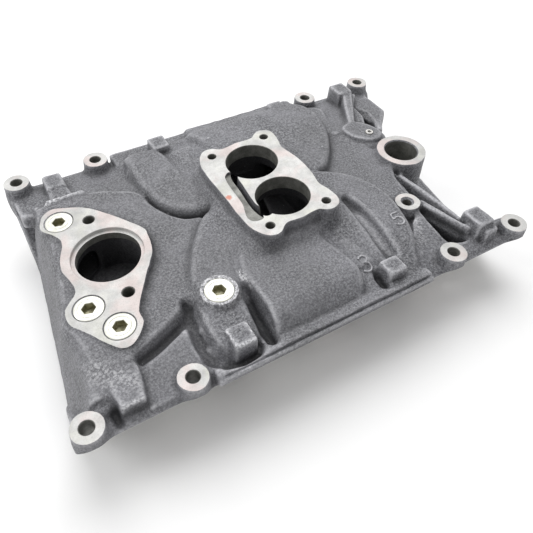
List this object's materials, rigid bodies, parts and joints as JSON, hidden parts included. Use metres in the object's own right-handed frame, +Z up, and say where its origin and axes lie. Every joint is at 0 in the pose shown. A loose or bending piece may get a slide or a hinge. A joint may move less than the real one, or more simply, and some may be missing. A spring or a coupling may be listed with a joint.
{
  "type": "intake manifold",
  "caption": "Cast-iron intake manifold for a vee engine, with a carburettor flange, thermostat pad, distributor collar and screwed plugs.",
  "frame": {"origin": "midway between the two rows of manifold bolts, on the plane of the end rails", "axes": "+X to the rear of the engine, +Y to the even-numbered bank, +Z up"},
  "size_m": [0.4032, 0.2622, 0.0877],
  "materials": {
    "casting": "sand-cast, dark, with pale machined faces",
    "plug": "bright, slightly yellow in the sockets",
    "pin": "dull"
  },
  "bodies": {
    "root": {"manifold_casting": "casting", "coolant_plug_far": "plug", "coolant_plug_front": "plug", "coolant_plug_near": "plug", "runner_plug": "plug", "bracket_pin": "pin"}
  },
  "joints": []
}
